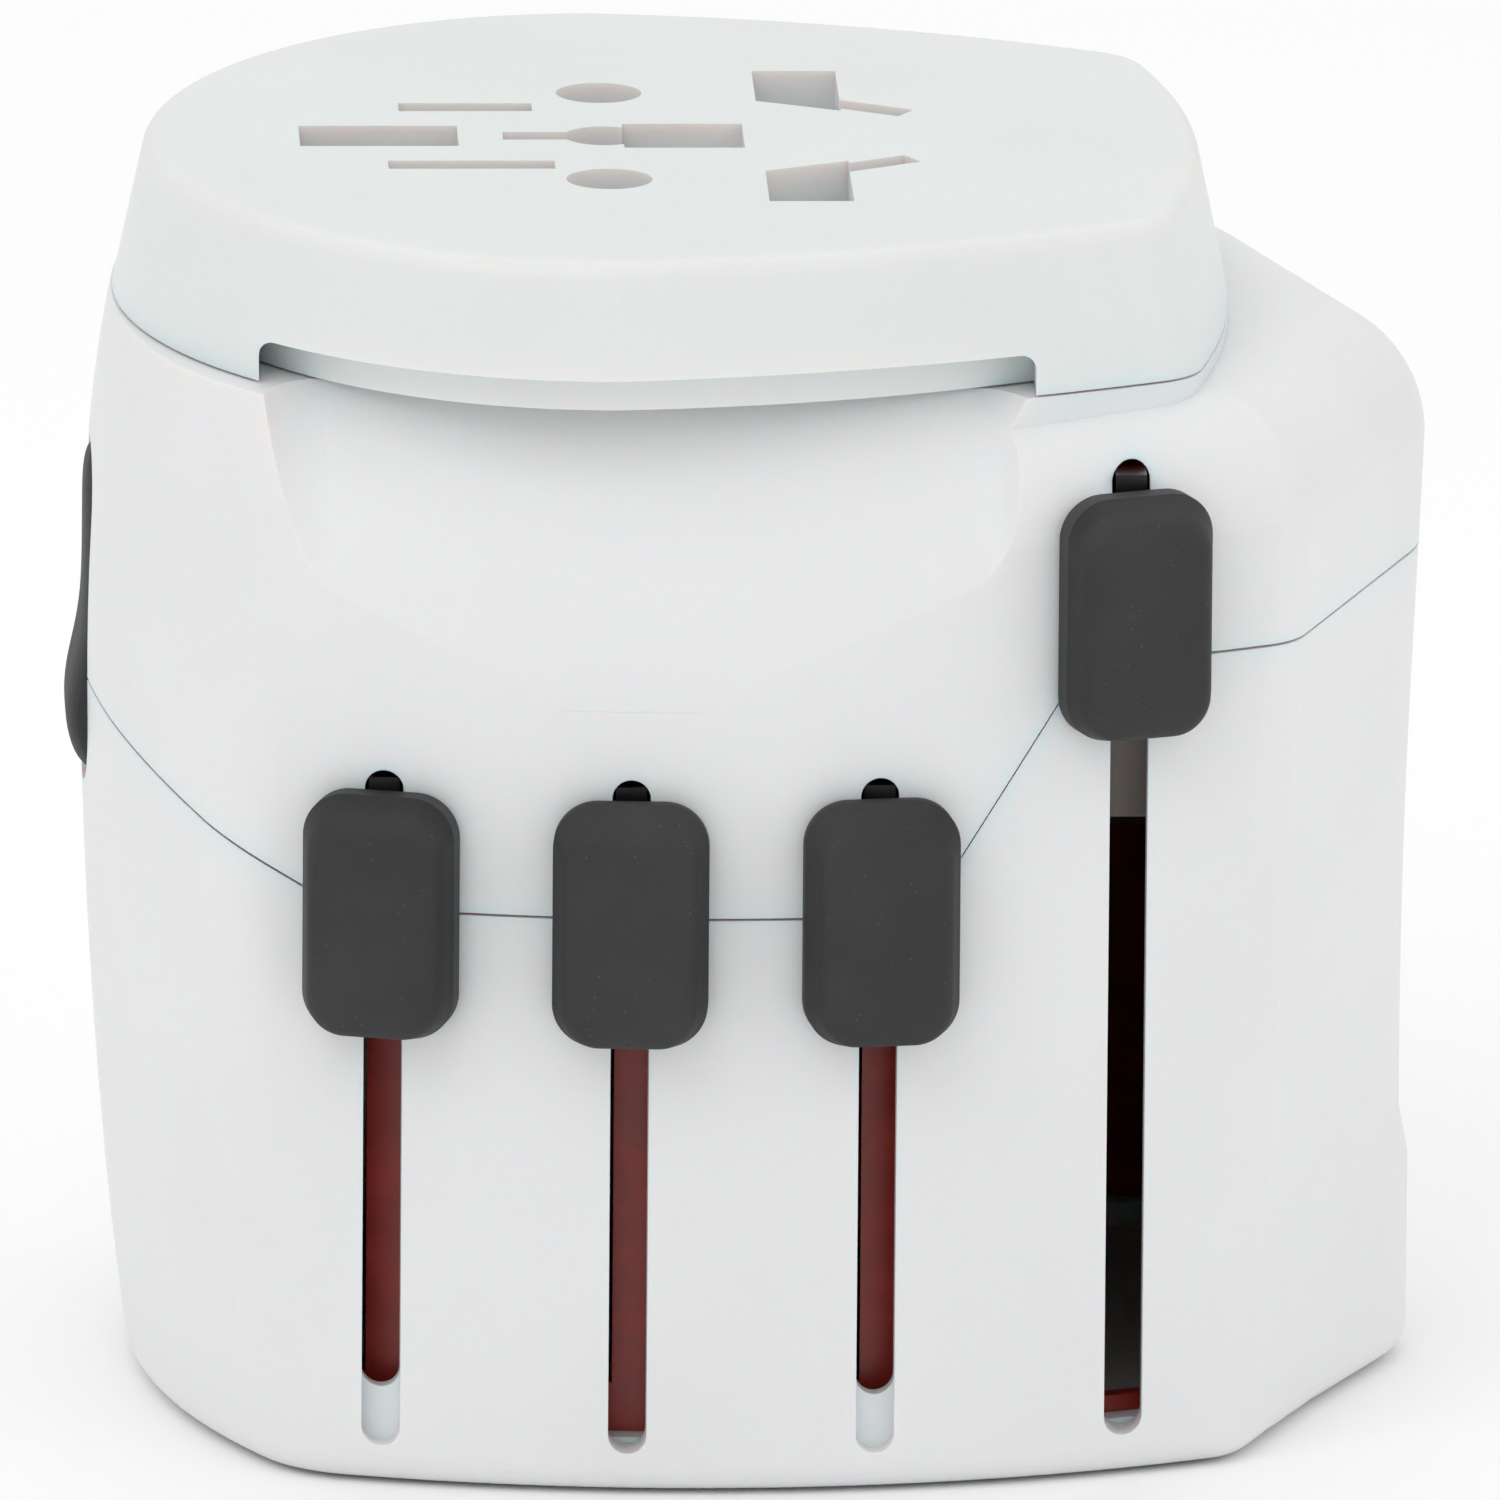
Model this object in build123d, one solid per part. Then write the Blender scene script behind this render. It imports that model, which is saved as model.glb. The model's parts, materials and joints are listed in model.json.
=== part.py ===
"""Universal travel adapter: a two-part housing with a socket head on top and four
plug sets inside, each pushed out of the base by its own button on the front.

Millimetres. Origin on the base plane under the centre of the socket pattern,
+X towards the nose, +Y towards the back, +Z up.
"""

from build123d import *
import math
import os

# Housing plan: front and back arcs, a left arc and a blunt nose on the right
FRONT_RADIUS = 64.0
FRONT_MID_X = 5.0
HALF_DEPTH = 30.2
LEFT_RADIUS = 48.0
RIGHT_CORNER_RADIUS = 4.0
NOSE_RADIUS = 10.0
WALL = 2.0
SEAM_Z = 57.3
DECK_DROP = 0.8
DECK_Z = SEAM_Z - DECK_DROP
# Each section: height, left end, left corner radius, right corner x, nose vertex x
SECTIONS = (
    (0.0, -24.6, 7.0, 33.0, 43.0),
    (18.0, -26.5, 7.0, 34.0, 42.9),
    (38.0, -27.3, 7.5, 35.0, 43.3),
    (48.0, -27.0, 12.0, 35.8, 43.7),
    (SEAM_Z, -25.8, 22.0, 36.2, 43.8),
)
DECK_ROUND = 7.0
CROWN_STEPS = 6
CROWN_SLACK = 0.05
BASE_ROUND = 1.6
FOOT_TOP = 10.6
FOOT_FADE = 3.9
FOOT_NOSE_X = 43.75
FOOT_BACK = (33.8, 21.0)

# Parting line of the two housings, level along Y: (x, z) corners
PARTING = ((-32.0, 40.5), (-26.0, 37.0), (-14.5, 31.0), (16.0, 31.0), (24.2, 43.9), (50.0, 43.9))
PARTING_ROUND = 3.0
PARTING_GAP = 0.14
HEAD_SEAT = 0.12

# Socket head
HEAD_TOP = SEAM_Z + 8.2
HEAD_LEFT = 24.0
HEAD_HALF_WIDTH = HALF_DEPTH - 2.2
HEAD_RIGHT = 31.0
HEAD_FLARE = 1.7
HEAD_PLATE = 2.5
HEAD_WALL = 2.2
HEAD_EDGE = 1.0
HEAD_ROOM_HALF = 19.5
HEAD_END_BULGE = 2.5
HEAD_END_Y = HEAD_HALF_WIDTH - 9.8
HEAD_BEND = (15.5, HEAD_HALF_WIDTH - 3.5)
HEAD_CORNER = 4.0

# Grip scoops on the front and back
SCOOP_LEFT = -18.5
SCOOP_RIGHT = 21.8
SCOOP_BOTTOM = SEAM_Z - 15.3
SCOOP_DEPTH_Y = 8.2 - HALF_DEPTH
SCOOP_START_Y = -HALF_DEPTH - 0.05
SCOOP_TOP = SEAM_Z + 1.0
SCOOP_ROOM = 0.3
SCOOP_RADIUS = SCOOP_TOP - SCOOP_BOTTOM + WALL + SCOOP_ROOM
SCOOP_SWING = 120.0
SCOOP_MID_X = 9.0
SCOOP_ARC = 16.0
SCOOP_END_ROUND = 3.0
GRIP_RISE = 2.2
GRIP_DEPTH = 1.0
GRIP_END_ROUND = 0.8

# Slots in the front wall and the buttons in them
SLOT_WIDTH = 2.0
SLOT_DEPTH = 6.0
SLOT_X = {"us": -12.05, "au": 0.73, "eu": 13.65, "uk": 26.7}
SLOT_TOP = {"us": 38.4, "au": 38.4, "eu": 38.4, "uk": 54.2}
SLOT_END = {"us": 5.0, "au": 2.2, "eu": 5.0, "uk": 2.2}
RECESS_END = 2.1
RECESS_DEPTH = 1.0
BUTTON_WIDTH = 8.1
BUTTON_HEIGHT = 12.9
BUTTON_THICK = 3.0
BUTTON_CORNER = 2.2
BUTTON_EDGE = 1.0
BUTTON_GAP = 0.3
BUTTON_TOP = {"us": 37.4, "au": 37.4, "eu": 37.4, "uk": 53.0}
STEM_SIDE_GAP = 0.2
STEM_WIDTH = SLOT_WIDTH - 2 * STEM_SIDE_GAP
STEM_RISE = {"us": 0.5, "au": 0.5, "eu": 0.5, "uk": 0.7}
STEM_SUNK = 0.4
STEM_LAP = 1.0
STEM_HEIGHT = {"us": 8.4, "au": 8.4, "eu": 8.4, "uk": 10.9}
STEM_GRIP = 1.4
STEM_END_Y = {"us": -7.0, "au": -9.0, "eu": -11.5, "uk": -9.0}
STEM_STOP = 0.4
PIN_TIP = 0.5
JOG = {"us": 1.8, "au": 1.8, "eu": 1.8, "uk": 0.0}
JOG_OUT = WALL + 0.3
JOG_IN = JOG_OUT + 0.8

# Guide frame behind the front wall
FRAME_OUT = JOG_IN + 0.3
FRAME_IN = FRAME_OUT + 1.0
FRAME_TOP = 38.2
FRAME_LEFT = -16.0
FRAME_RIGHT = 31.0
FRAME_BACK_RIGHT = 29.6
FRAME_SLOT = STEM_WIDTH + 0.6
FRAME_BAR_X = (20.6, 24.4)
FRAME_BAR = 0.4

# Plug sets
BASE_PLATE = 2.5
BASE_GAP = 0.15
CARRIAGE_THICK = 5.0
CARRIAGE_STOP = 3.0
TRAVEL = {"us": 24.0, "au": 24.0, "eu": 24.0, "uk": 39.0}
HEAD_STUB = 0.4
PIN_HOLE_GAP = 0.35
US_X = -7.1
US_SPACING = 12.7
US_BLADE = (6.35, 1.5)
US_BLADE_LENGTH = 16.5
US_EARTH_OFFSET = 11.9
US_EARTH_D = 4.8
US_EARTH_LENGTH = 19.0
AU_X = 0.45
AU_SPACING = 13.7
AU_BLADE = (6.35, 1.6)
AU_BLADE_LENGTH = 17.0
AU_EARTH_OFFSET = 10.3
AU_EARTH_LENGTH = 20.0
AU_TURN = 30.0
EU_X = 12.0
EU_SPACING = 19.0
EU_PIN_D = 4.0
EU_PIN_LENGTH = 19.0
EU_EARTH_OFFSET = 5.0
EU_CORE_D = 3.0
EU_SLEEVE_D = 3.8
EU_SLEEVE_LENGTH = 10.0
UK_EARTH = (17.6, -5.2)
UK_SPACING = 22.2
UK_LINE_OFFSET = 22.2
UK_BLADE = (6.3, 4.0)
UK_BLADE_LENGTH = 17.7
UK_EARTH_BLADE = (4.0, 8.0)
UK_EARTH_LENGTH = 22.7
UK_SLEEVE = 0.5
UK_SLEEVE_LENGTH = 9.0
SLEEVE_CUT = 6.0

# Socket pattern in the head
UK_SLOT_X = -11.8
UK_SLOT = (8.3, 4.5)
EURO_HOLE_D = 4.5
EURO_SPACING = 19.0
CENTRE_HOLE_D = 4.2
THIN_SLOT = (-5.3, -1.0, 1.7)
WIDE_SLOT = (1.0, 7.3, 5.3)
US_SLOT_X = -7.1
US_SLOT_WIDTH = 1.8
US_SLOT_LONG = 8.7
US_SLOT_SHORT = 7.0
UK_SIDE_SLOT = (8.2, 12.6)
UK_SIDE_OUT = 14.4
UK_SIDE_IN = (7.7, 5.5)
AU_SLOT_END = (16.0, 5.0)
AU_SLOT_WIDTH = 1.7

# Contacts and their block
CARRIER_X = (-18.5, 16.5)
CARRIER_HALF = 17.2
CARRIER_Z = (SEAM_Z - 9.7, SEAM_Z + 2.6)
CARRIER_FLANGE = 1.8
CARRIER_GAP = 0.3
CONTACT_THICK = 0.6
LEAF_THICK = 0.5
LEAF_DROP = 4.0
CONTACT_HOLE_GAP = 0.1
LEAF_GAP = CONTACT_HOLE_GAP + 0.05
RAIL_THICK = 0.6

CONTACT_X = (-11.5, 13.4)
CONTACT_Y = (4.0, 13.8)
EARTH_X = (-18.0, 7.8)
EARTH_HALF = 3.6
RAIL_Y = 12.8
EARTH_RAIL_X = -15.6
EARTH_RAIL_Y = (-2.2, 3.4)
UK_LEAF_SPREAD = 2.3
UK_LEAF_Y = (9.0, 12.5)
EARTH_LEAF_X = (UK_SLOT_X - 2.4, UK_SLOT_X + 3.5)

# Shutter under the head
SHUTTER_Z = (SEAM_Z + 2.9, SEAM_Z + 4.3)
SHUTTER_X = (-17.5, 14.0)
SHUTTER_HALF = 16.0
SHUTTER_TRAVEL = 4.5

# Release lever, latch bar
LEVER_Z = (31.6, 49.2)
LEVER_HALF = 4.8
LEVER_GAP = 0.35
LEVER_FACE_X = -27.2
LEVER_BULGE_X = -28.1
LEVER_THICK = 1.7
PIVOT = (-24.3, 46.0)
PIVOT_D = 1.5
PIVOT_HALF = 6.8
PIVOT_GAP = 0.05
EAR_THICK = 1.4
LATCH_Z = (38.5, 40.1)
LATCH_IN = FRAME_IN + 1.2
LATCH_X = (-14.8, 14.0)
LATCH_LEG = 1.8
LATCH_FINGER_Y = (-4.6, -2.7)
LATCH_GAP = 0.2
SPRING_WIRE = 0.3
SPRING_R = 0.6
LATCH_SPRING_LENGTH = 5.0
SHUTTER_SPRING_LENGTH = 6.0
SPRING_TURNS = 4
POST = 1.2

# Working values: past everything, bite of two pieces made one, and reach past a cut
PAST = 60.0
OVER = 1.0

# Screws
SCREW_X = (-17.6, 35.3)
SCREW_Y = (16.3, 6.0)
SCREW_D = 2.2
SCREW_HEAD_D = 3.8
SCREW_HEAD = 1.6
SCREW_COVER = 2.9
SCREW_LENGTH = DECK_Z - WALL - SCREW_COVER - SCREW_HEAD
SCREW_EASE = 0.3
SCREW_SOCKET = (0.2, 0.9, 1.8)
THREAD_REACH = 4.0
BOSS_D = 2 * SCREW_D
BOSS_SPLIT = 30.0
RIB_REACH = 6.0
RIB_HALF = 0.6
HEAD_SCREW_AT = ((-2.0, 19.6), (23.0, 13.0))
HEAD_SCREW_HEAD = 1.4

# Fuse
FUSE_AT = (29.5, 2.5, DECK_Z - 5.9)
FUSE_D = 5.0
FUSE_LENGTH = 20.0
CAP_LENGTH = 5.0
CLIP_WIDTH = 3.0
CLIP_HALF = 3.2
CLIP_MOUTH = 2.1
CLIP_DROP = 1.8

os.makedirs("parts", exist_ok=True)


def save(node, shape):
    """Write one node, given as a shape or a list of separate shapes."""
    solids = [s for piece in (shape if isinstance(shape, list) else [shape]) for s in piece.solids()]
    export_step(solids[0] if len(solids) == 1 else Compound(children=solids), f"parts/{node}.step")


def block(x0, x1, y0, y1, z0, z1):
    """A box between two corners."""
    size = Box(x1 - x0, y1 - y0, z1 - z0)
    return Pos((x0 + x1) / 2, (y0 + y1) / 2, (z0 + z1) / 2) * size


def rod(x, y, z0, z1, diameter):
    """A vertical round bar."""
    return Pos(x, y, (z0 + z1) / 2) * Cylinder(diameter / 2, z1 - z0)


def both_sides(shape):
    """A shape and its mirror image across the XZ plane."""
    return [shape, mirror(shape, about=Plane.XZ)]


def front_y(x, inset=0.0):
    """Y of the front face at x, or of a face inset from it."""
    return FRONT_RADIUS - HALF_DEPTH - math.sqrt((FRONT_RADIUS - inset) ** 2 - (x - FRONT_MID_X) ** 2)


def plan(section, inset):
    """Plan outline of the housing at one section, moved in by an inset."""
    z, left, corner, right, nose = section
    centre = FRONT_RADIUS - HALF_DEPTH
    face = Pos(FRONT_MID_X, centre) * Circle(FRONT_RADIUS - inset)
    face &= Pos(FRONT_MID_X, -centre) * Circle(FRONT_RADIUS - inset)
    face &= Pos(left + LEFT_RADIUS, 0) * Circle(LEFT_RADIUS - inset)
    slope = math.atan2(-front_y(right), nose - right)
    tip = nose - inset / math.sin(slope)
    run = HALF_DEPTH / math.tan(slope)
    back = [(tip, 0), (tip - run, HALF_DEPTH), (-PAST, HALF_DEPTH)]
    wedge = Polygon(*back, (-PAST, -HALF_DEPTH), (tip - run, -HALF_DEPTH), align=None)
    face &= wedge
    corners = face.vertices().sort_by(Axis.X)
    face = fillet(corners[:2], corner - inset)
    corners = [v for v in face.vertices() if abs(v.Y) < 0.01 and v.X > tip - 1]
    face = fillet(corners, NOSE_RADIUS - inset)
    shoulder = [v for v in face.vertices() if v.X > FRONT_MID_X + 10 and abs(v.Y) > HALF_DEPTH / 3]
    face = fillet(shoulder, max(RIGHT_CORNER_RADIUS - inset, 0.4))
    return Pos(0, 0, z) * face


def body(inset):
    """The housing's solid form, moved in by an inset."""
    return loft([plan(section, inset) for section in SECTIONS])


def between(z):
    """Section values at any height above the fourth section."""
    low, high = SECTIONS[-2:]
    share = (z - low[0]) / (high[0] - low[0])
    return tuple(a + share * (b - a) for a, b in zip(low, high))


def crown(inset):
    """Rounded top edge of the deck, as a form to intersect the housing with."""
    radius = DECK_ROUND - inset
    faces = []
    for step in range(CROWN_STEPS + 1):
        turn = math.radians(90 * step / CROWN_STEPS)
        z = DECK_Z - inset - radius * (1 - math.sin(turn))
        faces.append(plan(between(z), inset - CROWN_SLACK + radius * (1 - math.cos(turn))))
    start = DECK_Z - inset - radius
    below = block(-PAST, PAST, -PAST, PAST, -PAST, start)
    left = block(-PAST, 0, -PAST, PAST, -PAST, SEAM_Z - inset)
    return loft(faces) + below + left


def swing(profile):
    """Turn a YZ profile about a far vertical axis, past both ends of the scoop."""
    axis = Axis((SCOOP_MID_X, SCOOP_DEPTH_Y + SCOOP_SWING, 0), (0, 0, 1))
    face = Plane((SCOOP_MID_X, 0, 0), x_dir=(0, 1, 0), z_dir=(1, 0, 0)) * profile
    return revolve(face.rotate(axis, -SCOOP_ARC), axis, 2 * SCOOP_ARC)


def scoop(grow):
    """Space cut from the front of the upper housing by the grip, grown by a wall."""
    centre_y = SCOOP_START_Y + SCOOP_RADIUS
    radius = SCOOP_RADIUS - grow
    foot = (centre_y - radius, SCOOP_BOTTOM)
    rise = SCOOP_TOP - SCOOP_BOTTOM
    reach = (centre_y - math.sqrt(radius**2 - rise**2), SCOOP_TOP)
    turn = math.asin(rise / radius) / 2
    middle = (centre_y - radius * math.cos(turn), SCOOP_BOTTOM + radius * math.sin(turn))
    far = 2 * SCOOP_START_Y
    edges = [
        ThreePointArc(foot, middle, reach),
        Line(reach, (far, SCOOP_TOP)),
        Line((far, SCOOP_TOP), (far, SCOOP_BOTTOM)),
        Line((far, SCOOP_BOTTOM), foot),
    ]
    space = swing(make_face(Curve() + edges))
    ends = block(SCOOP_LEFT - grow, SCOOP_RIGHT + grow, far, 0, SCOOP_BOTTOM, SCOOP_TOP)
    space &= ends
    inner = [
        e for e in space.edges()
        if e.bounding_box().size.X < 0.5 and e.bounding_box().size.Z > 10 and e.center().Y > SCOOP_START_Y
    ]
    return fillet(inner, SCOOP_END_ROUND + grow / 2)


def grip():
    """Undercut in the head above the scoop, one height all along, with rounded upper corners."""
    far = 2 * SCOOP_START_Y
    space = block(SCOOP_LEFT, SCOOP_RIGHT, far, 0, SEAM_Z - OVER, SEAM_Z + GRIP_RISE)
    space = fillet(space.edges().filter_by(Axis.Y).group_by(Axis.Z)[-1], GRIP_END_ROUND)
    core = Pos(0, 0, SEAM_Z - 2 * OVER) * head_outline(-GRIP_DEPTH)
    return space - extrude(core, GRIP_RISE + 4 * OVER)


def front_slot(key, width, low, high, y0, y1):
    """A round-ended upright slot along Y."""
    place = Plane((SLOT_X[key], y0, (low + high) / 2), x_dir=(1, 0, 0), z_dir=(0, -1, 0))
    return extrude(place * SlotOverall(high - low, width, rotation=90), y0 - y1)


def below_parting(drop=0.0):
    """Everything under the parting line, or under a copy of it moved down."""
    points = [(x, z - drop) for x, z in PARTING]
    line = FilletPolyline(*points, radius=PARTING_ROUND)
    first, last = points[0], points[-1]
    closing = Polyline(last, (last[0], -10), (first[0], -10), first)
    face = Plane((0, 45, 0), x_dir=(1, 0, 0), z_dir=(0, -1, 0)) * make_face(Curve() + [line, closing])
    return extrude(face, 90)


def head_outline(grow):
    """Plan of the socket head: half an ellipse on the left, a blunt curve on the right."""
    half = HEAD_HALF_WIDTH + grow
    left = -HEAD_LEFT - grow
    right = HEAD_RIGHT + grow
    corner = (right - HEAD_END_BULGE, HEAD_END_Y + grow)
    bend = (HEAD_BEND[0], HEAD_BEND[1] + grow)
    ends = (corner[0], -corner[1])
    edges = [
        ThreePointArc((0, -half), (bend[0], -bend[1]), ends),
        ThreePointArc(ends, (right, 0), corner),
        ThreePointArc(corner, bend, (0, half)),
        Line((0, half), (0, -half)),
    ]
    face = make_face(Curve() + edges)
    face += Ellipse(-left, half) & Pos(left / 2, 0) * Rectangle(-left, 3 * half)
    corners = [v for v in face.vertices() if v.X > right - 5]
    return fillet(corners, HEAD_CORNER)


def socket_shapes(grow=0.0):
    """Every socket opening in plan, with a margin."""
    shapes = [Pos(UK_SLOT_X, 0) * Rectangle(UK_SLOT[0] + 2 * grow, UK_SLOT[1] + 2 * grow)]
    shapes += [Pos(0, side * EURO_SPACING / 2) * Circle(EURO_HOLE_D / 2 + grow) for side in (-1, 1)]
    shapes.append(Circle(CENTRE_HOLE_D / 2 + grow))
    for x0, x1, width in (THIN_SLOT, WIDE_SLOT):
        shapes.append(Pos((x0 + x1) / 2, 0) * Rectangle(x1 - x0 + 2 * grow, width + 2 * grow))
    for side, length in ((1, US_SLOT_SHORT), (-1, US_SLOT_LONG)):
        place = Pos(US_SLOT_X, side * US_SPACING / 2)
        shapes.append(place * Rectangle(length + 2 * grow, US_SLOT_WIDTH + 2 * grow))
    x0, x1 = UK_SIDE_SLOT
    lean = math.tan(math.radians(AU_TURN))
    for side in (1, -1):
        corners = ((x0, UK_SIDE_OUT), (x1, UK_SIDE_OUT), (x1, UK_SIDE_IN[1]), (x0, UK_SIDE_IN[0]))
        pocket = make_face(Polyline(*[(x, side * y) for x, y in corners], close=True))
        shapes.append(offset(pocket, grow) if grow else pocket)
        start = (x1 - 1.5, AU_SLOT_END[1] + (AU_SLOT_END[0] - x1 + 1.5) * lean)
        middle = Pos((start[0] + AU_SLOT_END[0]) / 2, side * (start[1] + AU_SLOT_END[1]) / 2)
        length = math.dist(start, AU_SLOT_END) + 2 * grow
        shapes.append(middle * Rectangle(length, AU_SLOT_WIDTH + 2 * grow, rotation=-side * AU_TURN))
    return shapes


def sockets(z0, z1, shift=0.0, grow=0.0):
    """Every socket opening, as solids between two heights."""
    return [extrude(Pos(shift, 0, z0) * shape, z1 - z0) for shape in socket_shapes(grow)]


def carrier_plan(grow=0.0):
    """Plan of the contact block, kept clear of the head's wall."""
    x0, x1 = CARRIER_X
    plan_face = Pos((x0 + x1) / 2, 0) * Rectangle(x1 - x0 + 2 * grow, 2 * (CARRIER_HALF + grow))
    return plan_face & head_outline(grow - HEAD_WALL - CARRIER_GAP)


def screw_places():
    """Centres of the four long housing screws."""
    return [(x, side * y) for x, y in zip(SCREW_X, SCREW_Y) for side in (-1, 1)]


def head_screw_places():
    """Centres of the four short screws that hold the head."""
    return [(x, side * y) for x, y in HEAD_SCREW_AT for side in (-1, 1)]


def lever_window(gap):
    """Outline of the release lever along X, with a gap round it."""
    height = LEVER_Z[1] - LEVER_Z[0] + 2 * gap
    face = RectangleRounded(2 * (LEVER_HALF + gap), height, LEVER_HALF - 1.0)
    place = Plane((-40, 0, (LEVER_Z[0] + LEVER_Z[1]) / 2), x_dir=(0, 1, 0), z_dir=(1, 0, 0))
    return extrude(place * face, 40 - 18)


def nose_foot():
    """Low step that brings the foot of the nose out to its full length."""
    faces = []
    for z, tip in ((0.0, FOOT_NOSE_X), (FOOT_TOP, FOOT_NOSE_X), (FOOT_TOP + FOOT_FADE, SECTIONS[0][4] - 0.2)):
        back_x, back_y = FOOT_BACK
        wedge = make_face(Polyline((tip, 0), (back_x, back_y), (back_x, -back_y), close=True))
        nose = [v for v in wedge.vertices() if v.X > tip - 1]
        faces.append(Pos(0, 0, z) * fillet(nose, NOSE_RADIUS))
    return loft(faces, ruled=True)


def make_shells():
    """Upper and lower housing, cut from one form along the parting line."""
    outer, inner = body(0.0), body(WALL)
    outer += nose_foot()
    outer = fillet(outer.edges().group_by(Axis.Z)[0], BASE_ROUND)
    plinth = outer & extrude(Pos(0, 0, SCOOP_BOTTOM) * head_outline(HEAD_FLARE), SEAM_Z - SCOOP_BOTTOM)
    outside = (outer & crown(0.0)) + plinth - both_sides(scoop(0.0))
    plinth_room = extrude(
        Pos(0, 0, SCOOP_BOTTOM - 1) * head_outline(HEAD_FLARE - WALL), DECK_Z - WALL - SCOOP_BOTTOM + 1
    )
    inside = (inner & crown(WALL)) + (inner & plinth_room) - both_sides(scoop(WALL))
    shell = outside - (inside & block(-PAST, PAST, -PAST, PAST, -OVER, DECK_Z - WALL))
    for key, bottom in SLOT_END.items():
        shell -= front_slot(key, SLOT_WIDTH, bottom, SLOT_TOP[key], -40, front_y(SLOT_X[key]) + SLOT_DEPTH)
        if bottom > RECESS_END + 1:
            mark = front_slot(key, SLOT_WIDTH, RECESS_END, bottom + SLOT_WIDTH, -40, 0)
            shell -= mark - Pos(FRONT_MID_X, FRONT_RADIUS - HALF_DEPTH, 0) * Cylinder(
                FRONT_RADIUS - RECESS_DEPTH, 100
            )
    shell -= lever_window(LEVER_GAP)
    lower = shell & below_parting(PARTING_GAP)
    upper = shell - below_parting()
    upper -= extrude(Pos(0, 0, SEAM_Z - 5) * carrier_plan(CARRIER_GAP), 6)
    for x, y in screw_places():
        reach = math.copysign(RIB_REACH, x)
        rib = block(min(x, x + reach), max(x, x + reach), y - RIB_HALF, y + RIB_HALF, BASE_PLATE, BOSS_SPLIT)
        lower += rod(x, y, BASE_PLATE, BOSS_SPLIT, BOSS_D) + (rib & outer)
        upper += rod(x, y, BOSS_SPLIT, DECK_Z - WALL + 0.5, BOSS_D)
        lower -= rod(x, y, 0, BOSS_SPLIT, SCREW_D + SCREW_EASE)
        upper -= rod(x, y, BOSS_SPLIT - 1, SCREW_HEAD + SCREW_LENGTH, SCREW_D)
    for x, y in head_screw_places():
        upper -= rod(x, y, SEAM_Z - 5, SEAM_Z + 1, SCREW_D + SCREW_EASE)
    for side in (-1, 1):
        y0 = side * (LEVER_HALF + LEVER_GAP + 0.2)
        y1 = y0 + side * EAR_THICK
        ear = block(PIVOT[0] - 2, PIVOT[0] + 2, min(y0, y1), max(y0, y1), PIVOT[1] - 2, PIVOT[1] + 2)
        upper += ear & outer
    upper -= Pos(PIVOT[0], 0, PIVOT[1]) * Rot(90, 0, 0) * Cylinder(PIVOT_D / 2, 2 * PIVOT_HALF)
    save("upper_housing", upper)
    save("lower_housing", lower)
    return upper, lower


def make_head():
    """Socket head: a flared cap with the socket pattern through its face."""
    depth = HEAD_TOP - SEAM_Z
    foot = Pos(0, 0, SEAM_Z + HEAD_SEAT) * head_outline(HEAD_FLARE)
    cap = loft([foot, Pos(0, 0, HEAD_TOP) * head_outline(0.0)])
    cap = fillet(cap.edges().group_by(Axis.Z)[-1], HEAD_EDGE)
    room = extrude(Pos(0, 0, SEAM_Z) * head_outline(-HEAD_WALL), depth - HEAD_PLATE)
    for side in (-1, 1):
        room -= block(-40, 40, *sorted((side * 40, side * HEAD_ROOM_HALF)), SEAM_Z - 1, HEAD_TOP)
    cap -= room
    for x, y in head_screw_places():
        cap += rod(x, y, SEAM_Z + HEAD_SEAT, HEAD_TOP - HEAD_PLATE + 0.5, BOSS_D)
        cap -= rod(x, y, SEAM_Z - OVER, SEAM_Z + THREAD_REACH, SCREW_D)
    cap -= both_sides(grip())
    post_x = SHUTTER_X[1] + SHUTTER_SPRING_LENGTH
    cap += block(post_x, post_x + POST, -2, 2, SHUTTER_Z[0] - 1, HEAD_TOP - HEAD_PLATE + 0.5)
    cap -= sockets(SEAM_Z, HEAD_TOP + 1)
    save("socket_head", cap)


def pin_places():
    """Plan shape, place and length of every plug pin, by set."""
    us_blade, au_blade = Rectangle(*US_BLADE), Rectangle(*AU_BLADE)
    uk_blade = Rectangle(*UK_BLADE)
    uk_line_x = [UK_EARTH[0] + side * UK_SPACING / 2 for side in (-1, 1)]
    uk_y = UK_EARTH[1] + UK_LINE_OFFSET
    return {
        "us_blades": [(Pos(US_X, s * US_SPACING / 2) * us_blade, US_BLADE_LENGTH) for s in (-1, 1)],
        "us_earth_pin": [(Pos(US_X - US_EARTH_OFFSET, 0) * Circle(US_EARTH_D / 2), US_EARTH_LENGTH)],
        "au_blades": [
            (Pos(AU_X, s * AU_SPACING / 2) * Rot(0, 0, -s * AU_TURN) * au_blade, AU_BLADE_LENGTH)
            for s in (-1, 1)
        ],
        "au_earth_blade": [(Pos(AU_X - AU_EARTH_OFFSET, 0) * au_blade, AU_EARTH_LENGTH)],
        "eu_pins": [(Pos(EU_X, s * EU_SPACING / 2) * Circle(EU_PIN_D / 2), EU_PIN_LENGTH) for s in (-1, 1)],
        "eu_earth_pin": [(Pos(EU_X - EU_EARTH_OFFSET, 0) * Circle(EU_PIN_D / 2), EU_PIN_LENGTH)],
        "uk_blades": [(Pos(x, uk_y) * uk_blade, UK_BLADE_LENGTH) for x in uk_line_x],
        "uk_earth_blade": [(Pos(*UK_EARTH) * Rectangle(*UK_EARTH_BLADE), UK_EARTH_LENGTH)],
    }


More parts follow.
